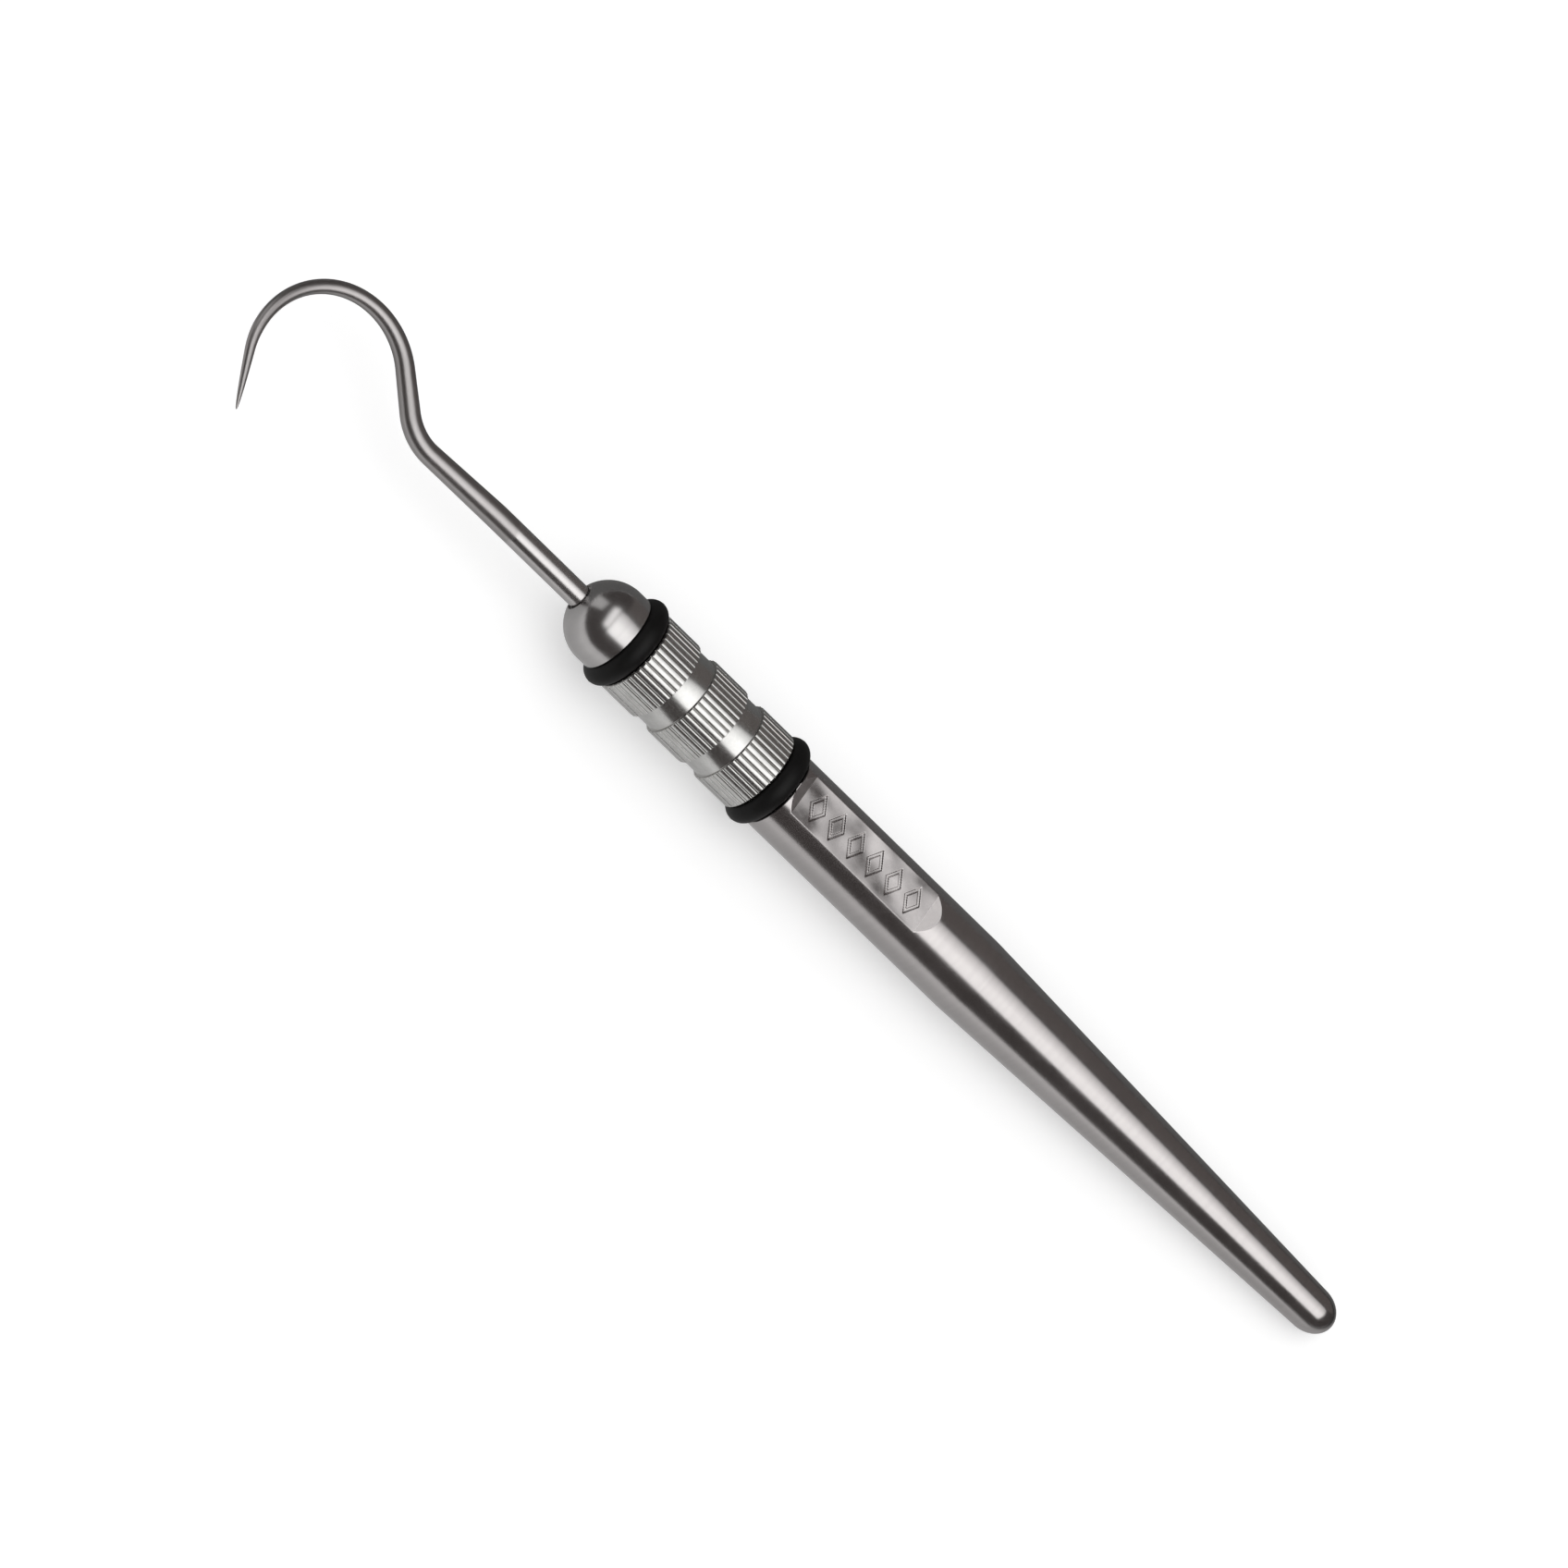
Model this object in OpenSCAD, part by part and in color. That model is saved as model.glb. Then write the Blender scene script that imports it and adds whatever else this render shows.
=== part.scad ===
// Hand tool with a fine shepherd's hook on a head that spins on two miniature ball bearings.
// The tool lies along X with its tail towards +X and its hook flat, parallel to the surface below it.
// Along the axis, x = 0 is the front face of the handle and the head is at negative x.
// place() then moves everything so that the origin is under the middle of the tool.

/* [Handle] */
// Diameter of the straight grip at the front of the handle
handle_d = 8.9; // [8.8:0.1:9.2]
// Length of the straight grip
grip_len = 28.6; // [24:0.2:34]
// Length of the whole handle, from its front face to the tip of its tail
handle_len = 84.3; // [70:0.1:100]
// Diameter of the rounded tail
tail_d = 4.86; // [4:0.02:6]
// Length of the rounded tail, from the end of the handle's cone to its tip
tail_len = 3.1; // [2.4:0.1:4]
// Bevel on the front edge of the handle
handle_bevel = 0.15; // [0.05:0.05:0.3]

/* [Milled flat] */
// Height of the flat above the tool's axis
flat_h = 3.75; // [3.6:0.05:4.1]
// Where the flat's level floor starts, behind the handle's front face
flat_start = 1.3; // [1:0.1:2]
// Length of the level floor
flat_len = 18.15; // [16:0.05:22]
// Slope of the run-outs at both ends of the flat, in degrees
flat_slope = 27; // [20:1:45]

/* [Engraved lozenges] */
// Number of lozenges cut into the flat
mark_count = 6; // [3:1:6]
// Distance from one lozenge to the next
mark_pitch = 2.8; // [2.4:0.1:2.8]
// Width of a lozenge along the tool
mark_w = 2.1; // [1.8:0.1:2.2]
// Height of a lozenge across the flat
mark_h = 3.4; // [2.8:0.1:3.6]
// Width of the cut line
mark_line = 0.3; // [0.2:0.05:0.35]
// Depth of the cut line
mark_depth = 0.12; // [0.05:0.01:0.2]

/* [O-rings] */
// Thickness of the round rubber section
ring_section = 2.4; // [2.2:0.05:2.4]
// Outside diameter of the fitted ring
ring_od = 10.7; // [10.5:0.1:11]
// Distance of the rear ring's middle in front of the handle's face
rear_ring_gap = 1.3; // [1.3:0.05:1.4]

/* [Knurled barrel] */
// Diameter over the crests of the teeth
barrel_d = 9.62; // [9.5:0.02:9.9]
// Number of straight teeth round the barrel
tooth_count = 38; // [30:1:42]
// Depth of a tooth
tooth_depth = 0.25; // [0.15:0.05:0.3]
// Distance between the middles of rings and grooves, which are evenly spaced
groove_pitch = 6.95; // [6.9:0.05:7.2]
// Width of a smooth groove at its floor
groove_floor = 2.36; // [1.6:0.02:2.6]
// Diameter of a smooth groove's floor
groove_d = 8.9; // [8.7:0.1:9]
// Length of the bevel at the end of a knurled band
band_bevel = 0.06; // [0.04:0.02:0.2]

/* [Nose] */
// Diameter of the round nose
nose_d = 9; // [8.8:0.1:9.2]
// Distance from the front ring's middle to the centre of the ball
nose_offset = 2.56; // [2.4:0.02:3]
// Diameter of the shallow counterbore round the wire
nose_mouth_d = 3.1; // [2.8:0.1:3.4]
// Depth of the counterbore below the ball's pole
nose_mouth_depth = 0.6; // [0.5:0.05:0.8]

/* [Hook wire] */
// Diameter of the straight wire
wire_d = 2.58; // [2.4:0.02:2.6]
// Where the wire's taper starts, in front of the handle's face
taper_start = 41; // [36:0.5:44]
// Lean of the tapered wire before its first bend, in degrees
wire_lean = 1.5; // [0:0.1:2]
// Where the first bend starts, in front of the handle's face
bend_start = 50.25; // [46:0.05:56]
// Radius of the first bend
bend_r = 6; // [5:0.5:8]
// Angle between the tool's axis and the wire after the first bend, in degrees
bend_angle = 43.7; // [35:0.1:55]
// Straight stretch between the first bend and the hook
slope_len = 4.4; // [2:0.1:5]
// Radius of the hook, at the wire's middle
hook_r = 8.72; // [8.2:0.02:10]
// Angle that the hook turns through, in degrees
hook_sweep = 158.8; // [145:0.1:170]
// Straight stretch at the pointed end
point_len = 6.05; // [4:0.05:8]
// Diameter of the wire where it starts to curve down to its point
point_d = 1.24; // [1:0.02:1.4]
// Length over which the wire curves down to its point
point_taper = 8.5; // [6:0.1:10]

/* [Ball bearings] */
// Bore of a bearing
bearing_bore = 3; // [3:0.1:3.1]
// Outside diameter of a bearing
bearing_od = 6; // [5.9:0.1:6]
// Width of a bearing
bearing_w = 2.5; // [2.5:0.1:2.6]
// Number of balls in a bearing
ball_count = 7; // [6:1:8]
// Diameter of a ball
ball_d = 1; // [0.96:0.02:1]
// Distance of the rear bearing in front of the handle's face
rear_bearing_gap = 3.4; // [3.4:0.1:3.6]
// Length of the two spacer tubes between the bearings
spacer_len = 7.4; // [7:0.1:7.6]

/* [Hidden] */
$fn = 72;

// Clearances: between fixed pieces, and between pieces that turn past each other
fixed_gap = 0.01;
running_gap = 0.04;
face_gap = 0.15;

handle_r = handle_d / 2;
tail_r = tail_d / 2;
tail_steps = 12;
tail_outline = [
    for (i = [0:tail_steps])
        let (a = 90 * i / tail_steps)
            [handle_len - tail_len * (1 - sin(a)), tail_r * cos(a)]
];
cut_past = 1;

// The O-rings and their seats
ring_r = ring_section / 2;
ring_mid_r = ring_od / 2 - ring_r;
seat_r = ring_mid_r - ring_r - 2 * fixed_gap;
seat_slack = 0.05;
seat_half = ring_r + seat_slack;
rear_ring_x = -rear_ring_gap;
front_ring_x = rear_ring_x - 3 * groove_pitch;
lip_h = 0.42;
lip_r = seat_r + lip_h;
lip_w = 0.23;
lip_front = -face_gap - lip_w;
lip_bevel = 0.1;

// The barrel
barrel_r = barrel_d / 2;
groove_r = groove_d / 2;
band_rear = rear_ring_x - seat_half;
band_front = front_ring_x + seat_half;
groove_xs = [rear_ring_x - groove_pitch, rear_ring_x - 2 * groove_pitch];
neck_bore_r = 2.2;
edge_bevel = 0.2;
tooth_step = 360 / tooth_count;
crest_share = 0.42;
root_share = 0.16;

// The bearings
bore_r = bearing_bore / 2;
outer_r = bearing_od / 2;
pitch_r = (bore_r + outer_r) / 2;
ball_r = ball_d / 2;
track_r = ball_r + running_gap;
race_gap_half = 0.3;
shield_w = 0.15;
shield_inset = 0.05;
shield_step = 0.18;
shield_seat_r = pitch_r + race_gap_half + shield_step;
cage_half = 0.1;
cage_w = 1.4;
cage_pocket_gap = 0.03;
cage_pocket_r = ball_r + cage_pocket_gap;
rear_bearing_x = -rear_bearing_gap - bearing_w / 2;
front_bearing_x = rear_bearing_x - bearing_w - spacer_len;
stack_front = front_bearing_x - bearing_w / 2;
stack_rear = -rear_bearing_gap;

// The spindle and the screw that holds the inner races on it
spindle_tail_r = 2;
spindle_tail_len = 10;
spindle_bevel = 0.3;
journal_r = bore_r - fixed_gap;
journal_short = 0.05;
journal_end = stack_front + journal_short;
screw_r = 0.8;
screw_len = 5;
screw_head_r = 1.75;
screw_head_h = 1.2;
screw_socket_r = 0.85;
screw_socket_depth = 0.7;
washer_r = 2;
washer_h = 0.3;

// The nose and its threaded spigot
nose_r = nose_d / 2;
nose_x = front_ring_x - nose_offset;
nose_rear = front_ring_x - seat_half;
nose_pole = nose_x - nose_r;
spigot_bore_r = 3.3;
spigot_r = spigot_bore_r - 2 * fixed_gap;
wave_h = 0.25;
spigot_end = stack_front - wave_h;
cavity_r = 2.35;
screw_head_room = 1.7;
cavity_end = stack_front - washer_h - screw_head_h - screw_head_room;
cavity_wall = 1.15;
wire_bore_end = cavity_end - cavity_wall;
grub_r = 1;
grub_len = 1.55;
grub_socket_r = 0.45;
grub_socket_depth = 0.8;

// The hook wire, followed along its middle line from the start of the first bend
wire_r = wire_d / 2;
wire_bore_r = wire_r + 2 * fixed_gap;
wire_end = wire_bore_end - seat_slack;
bend_x = -bend_start;
lean_len = (bend_start - taper_start) / cos(wire_lean);
lean_drop = lean_len * sin(wire_lean);
bend_len = bend_r * (bend_angle + wire_lean) * PI / 180;
arc_len = hook_r * hook_sweep * PI / 180;
arc_at = bend_len + slope_len;
point_at = arc_at + arc_len;
wire_total = point_at + point_len;
straight_len = taper_start + wire_end;
taper_len = wire_total - point_taper + lean_len;
tip_r = 0.04;
point_power = 0.55;
slope_heading = 180 - bend_angle;
point_heading = slope_heading + hook_sweep;
wire_sides = 20;

bend_mid = [bend_x - bend_r * sin(wire_lean), bend_r * cos(wire_lean) - lean_drop];
bend_end = bend_mid + bend_r * [-sin(slope_heading), cos(slope_heading)];
arc_start = bend_end + slope_len * [cos(slope_heading), sin(slope_heading)];
hook_mid = arc_start + hook_r * [-sin(slope_heading), cos(slope_heading)];
point_start = hook_mid + hook_r * [sin(point_heading), -cos(point_heading)];

// Direction of the wire at distance u along it, in degrees from +X
function heading(u) =
    u < -lean_len ? 180
    : u < 0 ? 180 + wire_lean
    : u < bend_len ? 180 + wire_lean - u / bend_r * 180 / PI
    : u < arc_at ? slope_heading
    : u < point_at ? slope_heading + (u - arc_at) / hook_r * 180 / PI
    : point_heading;

// Middle of the wire at distance u along it
function wire_mid(u) =
    u < -lean_len ? [-taper_start - lean_len - u, 0]
    : u < 0 ? [bend_x - u * cos(wire_lean), -lean_drop - u * sin(wire_lean)]
    : u < bend_len ? bend_mid + bend_r * [-sin(heading(u)), cos(heading(u))]
    : u < arc_at ? bend_end + (u - bend_len) * [cos(slope_heading), sin(slope_heading)]
    : u < point_at ? hook_mid + hook_r * [sin(heading(u)), -cos(heading(u))]
    : point_start + (u - point_at) * [cos(point_heading), sin(point_heading)];

// Radius of the ground wire at distance u: a long straight taper, then a curve down to the point
function wire_r_at(u) =
    u < -lean_len ? wire_r
    : u < taper_len - lean_len ? wire_r + (point_d / 2 - wire_r) * (u + lean_len) / taper_len
    : tip_r + (point_d / 2 - tip_r) * pow((wire_total - u) / point_taper, point_power);

// Distances at which the wire gets a ring of points
wire_stations = concat(
    [-lean_len - straight_len, -lean_len, -lean_len / 2],
    [for (i = [0:7]) i * bend_len / 8],
    [bend_len, arc_at - slope_len / 2],
    [for (i = [0:27]) arc_at + i * arc_len / 28],
    [for (i = [0:12]) wire_total - point_len * pow(1 - i / 12, 2)]
);

// The extent of the tool, which sets where its origin is
crown_u = arc_at + (270 - slope_heading) * hook_r * PI / 180;
side_u = arc_at + bend_angle * hook_r * PI / 180;
low_x = hook_mid[0] - hook_r - wire_r_at(crown_u);
high_y = hook_mid[1] + hook_r + wire_r_at(side_u);
low_y = wire_mid(wire_total)[1] - tip_r * abs(cos(point_heading));
mid_x = (low_x + handle_len) / 2;
mid_y = (low_y + high_y) / 2;

module place() {
    translate([-mid_x, -mid_y, ring_od / 2]) children();
}

// Turned shapes: rods, cones and tubes along X
module rod(x0, x1, r) {
    translate([x0, 0, 0]) rotate([0, 90, 0]) cylinder(h = x1 - x0, r = r);
}

module cone_rod(x0, x1, r0, r1) {
    translate([x0, 0, 0]) rotate([0, 90, 0]) cylinder(h = x1 - x0, r1 = r0, r2 = r1);
}

module tube(x0, x1, outer, inner) {
    difference() {
        rod(x0, x1, outer);
        rod(x0 - cut_past, x1 + cut_past, inner);
    }
}

// A profile of [x, radius] points turned round the X axis
module turned(points) {
    rotate([0, 90, 0]) rotate_extrude() polygon([for (p = points) [p[1], p[0]]]);
}

module flat_cutter() {
    rise = handle_r - flat_h + cut_past;
    run = rise / tan(flat_slope);
    rotate([90, 0, 0]) linear_extrude(height = handle_d + cut_past, center = true) polygon([
        [flat_start, flat_h],
        [flat_start + flat_len, flat_h],
        [flat_start + flat_len + run, flat_h + rise],
        [flat_start - run, flat_h + rise]
    ]);
}

module lozenge(w, h) {
    polygon([[w / 2, 0], [0, h / 2], [-w / 2, 0], [0, -h / 2]]);
}

module lozenge_marks() {
    side = sqrt(mark_w * mark_w + mark_h * mark_h);
    inner_w = mark_w - 2 * mark_line * side / mark_h;
    inner_h = mark_h - 2 * mark_line * side / mark_w;
    first_x = flat_start + (flat_len - (mark_count - 1) * mark_pitch) / 2;
    for (i = [0:mark_count - 1]) {
        translate([first_x + i * mark_pitch, 0, flat_h - mark_depth]) {
            linear_extrude(height = cut_past) difference() {
                lozenge(mark_w, mark_h);
                lozenge(inner_w, inner_h);
            }
        }
    }
}

module handle() {
    color("lightslategray") place() difference() {
        turned([
            [0, 0],
            [0, handle_r - handle_bevel],
            [handle_bevel, handle_r],
            [grip_len, handle_r],
            each tail_outline
        ]);
        rod(-cut_past, spindle_tail_len + spindle_bevel, spindle_tail_r + fixed_gap);
        flat_cutter();
        lozenge_marks();
    }
}

module spindle() {
    color("gainsboro") place() difference() {
        turned([
            [journal_end, 0],
            [journal_end, journal_r - edge_bevel],
            [journal_end + edge_bevel, journal_r],
            [stack_rear, journal_r],
            [stack_rear, spindle_tail_r],
            [spindle_tail_len - spindle_bevel, spindle_tail_r],
            [spindle_tail_len, spindle_tail_r - spindle_bevel],
            [spindle_tail_len, 0]
        ]);
        rod(journal_end - cut_past, journal_end + screw_len + edge_bevel, screw_r);
    }
}

// One bearing's rings, centred at x
module inner_race(x) {
    difference() {
        tube(x - bearing_w / 2, x + bearing_w / 2, pitch_r - race_gap_half, bore_r);
        ball_track(x);
    }
}

module outer_race(x) {
    difference() {
        tube(x - bearing_w / 2, x + bearing_w / 2, outer_r, pitch_r + race_gap_half);
        ball_track(x);
        for (side = [-1, 1]) {
            seat_mid = x + side * bearing_w / 2;
            seat_depth = shield_w + shield_inset;
            rod(seat_mid - seat_depth, seat_mid + seat_depth, shield_seat_r);
        }
    }
}

module ball_track(x) {
    translate([x, 0, 0]) rotate([0, 90, 0]) rotate_extrude() translate([pitch_r, 0]) circle(r = track_r);
}

module ball_ring(x, r) {
    for (i = [0:ball_count - 1]) {
        rotate([i * 360 / ball_count, 0, 0]) translate([x, 0, pitch_r]) sphere(r = r);
    }
}

module cage(x) {
    difference() {
        tube(x - cage_w / 2, x + cage_w / 2, pitch_r + cage_half, pitch_r - cage_half);
        ball_ring(x, cage_pocket_r);
    }
}

module shields(x) {
    for (side = [-1, 1]) {
        mid = x + side * (bearing_w / 2 - shield_inset - shield_w / 2);
        tube(
            mid - shield_w / 2,
            mid + shield_w / 2,
            shield_seat_r - fixed_gap,
            pitch_r - race_gap_half + 2 * running_gap
        );
    }
}

module rear_inner_race() {
    color("lightsteelblue") place() inner_race(rear_bearing_x);
}

module front_inner_race() {
    color("lightsteelblue") place() inner_race(front_bearing_x);
}

module rear_outer_race() {
    color("steelblue") place() outer_race(rear_bearing_x);
}

module front_outer_race() {
    color("steelblue") place() outer_race(front_bearing_x);
}

module rear_bearing_shields() {
    color("slategray") place() shields(rear_bearing_x);
}

module front_bearing_shields() {
    color("slategray") place() shields(front_bearing_x);
}

module rear_balls() {
    color("white") place() ball_ring(rear_bearing_x, ball_r);
}

module front_balls() {
    color("white") place() ball_ring(front_bearing_x, ball_r);
}

module rear_cage() {
    color("goldenrod") place() cage(rear_bearing_x);
}

module front_cage() {
    color("goldenrod") place() cage(front_bearing_x);
}

module inner_spacer() {
    color("khaki") place() tube(
        front_bearing_x + bearing_w / 2,
        rear_bearing_x - bearing_w / 2,
        pitch_r - race_gap_half,
        bore_r + fixed_gap
    );
}

module outer_spacer() {
    color("khaki") place() tube(
        front_bearing_x + bearing_w / 2,
        rear_bearing_x - bearing_w / 2,
        outer_r,
        pitch_r + race_gap_half
    );
}

module retaining_washer() {
    color("silver") place() tube(stack_front - washer_h, stack_front, washer_r, screw_r + 2 * fixed_gap);
}

module retaining_screw() {
    head_rear = stack_front - washer_h;
    head_front = head_rear - screw_head_h;
    color("dimgray") place() difference() {
        union() {
            rod(head_front, head_rear, screw_head_r);
            rod(head_rear - screw_head_h / 2, journal_end + screw_len, screw_r - fixed_gap);
        }
        translate([head_front - cut_past, 0, 0]) rotate([0, 90, 0])
            cylinder(h = cut_past + screw_socket_depth, r = screw_socket_r, $fn = 6);
    }
}

// Outline of the straight knurl, as seen along the axis
module tooth_outline() {
    root_r = barrel_r - tooth_depth;
    polygon([
        for (i = [0:tooth_count - 1])
            for (corner = [
                [-0.5 + root_share / 2, root_r],
                [-crest_share / 2, barrel_r],
                [crest_share / 2, barrel_r],
                [0.5 - root_share / 2, root_r]
            ])
                corner[1] * [cos((i + corner[0]) * tooth_step), sin((i + corner[0]) * tooth_step)]
    ]);
}

// One smooth groove between two knurled bands
module smooth_groove(x) {
    past_r = barrel_r + edge_bevel;
    past = groove_floor / 2 + band_bevel * (past_r - groove_r) / (barrel_r - groove_r);
    turned([
        [x - past, past_r],
        [x - groove_floor / 2, groove_r],
        [x + groove_floor / 2, groove_r],
        [x + past, past_r]
    ]);
}

module knurled_barrel() {
    color("whitesmoke") place() difference() {
        union() {
            intersection() {
                translate([band_front - cut_past, 0, 0]) rotate([0, 90, 0])
                    linear_extrude(height = band_rear - band_front + 2 * cut_past) tooth_outline();
                turned([
                    [band_front, 0],
                    [band_front, barrel_r - edge_bevel],
                    [band_front + 2 * edge_bevel, barrel_r + edge_bevel],
                    [band_rear - 2 * edge_bevel, barrel_r + edge_bevel],
                    [band_rear, barrel_r - edge_bevel],
                    [band_rear, 0]
                ]);
            }
            rod(band_rear - cut_past, -face_gap, seat_r);
            cone_rod(lip_front, -face_gap, lip_r, lip_r - lip_bevel);
        }
        for (x = groove_xs) {
            smooth_groove(x);
        }
        rod(stack_rear - cut_past, cut_past, neck_bore_r);
        rod(stack_front - cut_past, stack_rear, outer_r + fixed_gap);
        rod(band_front - cut_past, stack_front + seat_slack, spigot_bore_r);
    }
}

// Outline of the nose and its neck, to be turned round the axis: a half disc, a short straight and steps
module nose_outline() {
    intersection() {
        union() {
            translate([0, nose_x]) circle(r = nose_r);
            translate([-nose_r, nose_x]) square([2 * nose_r, nose_rear - nose_x]);
        }
        translate([0, nose_pole - cut_past]) square([nose_r + cut_past, nose_rear - nose_pole + cut_past]);
    }
    translate([0, nose_rear - cut_past]) square([seat_r, band_front - nose_rear + cut_past]);
    translate([0, band_front]) square([spigot_r, spigot_end - band_front]);
}

module nose_ball() {
    color("lightgray") place() difference() {
        rotate([0, 90, 0]) rotate_extrude() nose_outline();
        rod(cavity_end, spigot_end + cut_past, cavity_r);
        rod(nose_pole - cut_past, wire_bore_end, wire_bore_r);
        rod(nose_pole - cut_past, nose_pole + nose_mouth_depth, nose_mouth_d / 2);
        translate([front_ring_x, 0, -nose_r]) cylinder(h = nose_r, r = grub_r + fixed_gap);
    }
}

module hook_grub_screw() {
    bottom = -wire_r - 2 * fixed_gap - grub_len;
    color("dimgray") place() translate([front_ring_x, 0, bottom]) difference() {
        cylinder(h = grub_len, r = grub_r);
        translate([0, 0, -cut_past]) cylinder(h = cut_past + grub_socket_depth, r = grub_socket_r, $fn = 6);
    }
}

module hook_wire() {
    count = len(wire_stations);
    points = [
        for (u = wire_stations)
            for (i = [0:wire_sides - 1])
                let (
                    angle = i * 360 / wire_sides,
                    out = wire_r_at(u) * cos(angle),
                    mid = wire_mid(u)
                )
                [mid[0] - out * sin(heading(u)), mid[1] + out * cos(heading(u)), wire_r_at(u) * sin(angle)]
    ];
    faces = concat(
        [[for (i = [0:wire_sides - 1]) i]],
        [
            for (k = [0:count - 2])
                for (i = [0:wire_sides - 1])
                    let (a = k * wire_sides, b = a + wire_sides, j = (i + 1) % wire_sides)
                    [a + j, a + i, b + i, b + j]
        ],
        [[for (i = [wire_sides - 1:-1:0]) (count - 1) * wire_sides + i]]
    );
    color("silver") place() polyhedron(points = points, faces = faces);
}

module o_ring(x) {
    translate([x, 0, 0]) rotate([0, 90, 0]) rotate_extrude() translate([ring_mid_r, 0]) circle(r = ring_r);
}

module front_o_ring() {
    color("black") place() o_ring(front_ring_x);
}

module rear_o_ring() {
    color("black") place() o_ring(rear_ring_x);
}

module wave_washer() {
    color("gray") place() tube(
        spigot_end + 2 * fixed_gap,
        stack_front - 2 * fixed_gap,
        outer_r - 2 * fixed_gap,
        cavity_r + fixed_gap
    );
}

handle();
spindle();
rear_inner_race();
inner_spacer();
front_inner_race();
retaining_washer();
retaining_screw();
knurled_barrel();
nose_ball();
hook_wire();
hook_grub_screw();
front_o_ring();
rear_o_ring();
rear_outer_race();
outer_spacer();
front_outer_race();
rear_bearing_shields();
front_bearing_shields();
wave_washer();
rear_balls();
rear_cage();
front_balls();
front_cage();
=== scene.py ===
"""Looks of the hand scaler: a ground hook on a spinning head, with a knurled barrel and a tapered handle.

Lengths are in millimetres along the tool's axis, measured from the handle's front face, until place() turns
them into metres in the row frame. The head is at negative x and the tail at positive x.
"""

import math

import bmesh
import bpy
from mathutils import Matrix, Vector


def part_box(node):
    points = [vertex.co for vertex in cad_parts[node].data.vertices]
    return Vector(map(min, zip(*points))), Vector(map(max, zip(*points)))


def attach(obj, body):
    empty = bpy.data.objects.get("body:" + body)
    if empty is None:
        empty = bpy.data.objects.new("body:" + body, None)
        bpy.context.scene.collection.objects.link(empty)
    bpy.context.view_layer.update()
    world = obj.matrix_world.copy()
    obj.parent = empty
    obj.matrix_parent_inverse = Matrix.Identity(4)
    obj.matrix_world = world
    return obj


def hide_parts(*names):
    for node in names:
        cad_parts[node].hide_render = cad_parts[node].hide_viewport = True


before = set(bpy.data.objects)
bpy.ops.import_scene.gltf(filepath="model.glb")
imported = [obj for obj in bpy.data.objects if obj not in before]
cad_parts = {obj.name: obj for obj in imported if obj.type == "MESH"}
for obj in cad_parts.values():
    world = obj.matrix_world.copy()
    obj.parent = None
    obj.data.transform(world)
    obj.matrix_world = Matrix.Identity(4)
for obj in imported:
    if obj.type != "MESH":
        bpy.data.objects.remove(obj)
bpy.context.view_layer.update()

MM = 0.001
TURN = 2 * math.pi

ring_low, ring_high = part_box("front_o_ring")
AXIS_Y = (ring_low.y + ring_high.y) / 2
AXIS_Z = (ring_low.z + ring_high.z) / 2
FACE_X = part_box("handle")[0].x


def place(x, y, z):
    """A point in metres in the row frame, from millimetres round the tool's axis."""
    return Vector((FACE_X + x * MM, AXIS_Y + y * MM, AXIS_Z + z * MM))


def along_axis(node):
    """Where a CAD node starts and ends along the tool, in millimetres from the handle's front face."""
    low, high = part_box(node)
    return (low.x - FACE_X) / MM, (high.x - FACE_X) / MM


# ---------------------------------------------------------------- driving dimensions

HANDLE_R = 4.45
GRIP_LEN = 28.6
HANDLE_LEN = along_axis("handle")[1]
TAIL_R = 2.43
TAIL_LEN = 3.1
HANDLE_BEVEL = 0.15
SPINDLE_BORE_R = 2.01
SPINDLE_BORE_END = 10.3

FLAT_H = 3.75
FLAT_START = 1.3
FLAT_END = 19.45
FLAT_SLOPE = math.tan(math.radians(27))
FLAT_EDGE = 0.012
FLAT_ZONE = 21.0

MARK_COUNT = 6
MARK_PITCH = 2.8
MARK_HALF_W = 1.05
MARK_HALF_H = 1.7
MARK_LINE = 0.3
MARK_DEPTH = 0.12
MARK_SOFT = 0.05

RING_R = 1.195
RING_MID_R = 4.15
FRONT_RING_X = sum(along_axis("front_o_ring")) / 2
REAR_RING_X = sum(along_axis("rear_o_ring")) / 2

BARREL_R = 4.81
TOOTH_DEPTH = 0.25
TOOTH_COUNT = 38
TOOTH_HALF = 0.41
TOOTH_CROWN = 0.065
TOOTH_FLANK = 0.06
GROOVE_R = 4.45
GROOVE_HALF = 1.18
GROOVE_XS = [REAR_RING_X - 6.95, REAR_RING_X - 13.9]
BAND_BEVEL = 0.06
END_BEVEL = 0.2
SEAT_R = 2.93
SEAT_HALF = 1.25
BAND_REAR = REAR_RING_X - SEAT_HALF
BAND_FRONT = FRONT_RING_X + SEAT_HALF

NOSE_R = 4.5
NOSE_X = FRONT_RING_X - 2.56
NOSE_REAR = FRONT_RING_X - SEAT_HALF
NOSE_POLE = NOSE_X - NOSE_R

WIRE_R = 1.28
WIRE_BACK = -20.2
TAPER_START = -41.0
FINISH_END = -38.8
WIRE_LEAN = math.radians(1.5)
BEND_X = -50.25
BEND_R = 6.0
BEND_ANGLE = math.radians(43.7)
SLOPE_LEN = 4.4
HOOK_R = 8.72
HOOK_SWEEP = math.radians(158.8)
POINT_LEN = 6.045
POINT_R = 0.61
POINT_TAPER = 8.5
POINT_POWER = 0.55
TIP_R = 0.04


# ---------------------------------------------------------------- mesh tools

POLE_R = 1e-9


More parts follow.
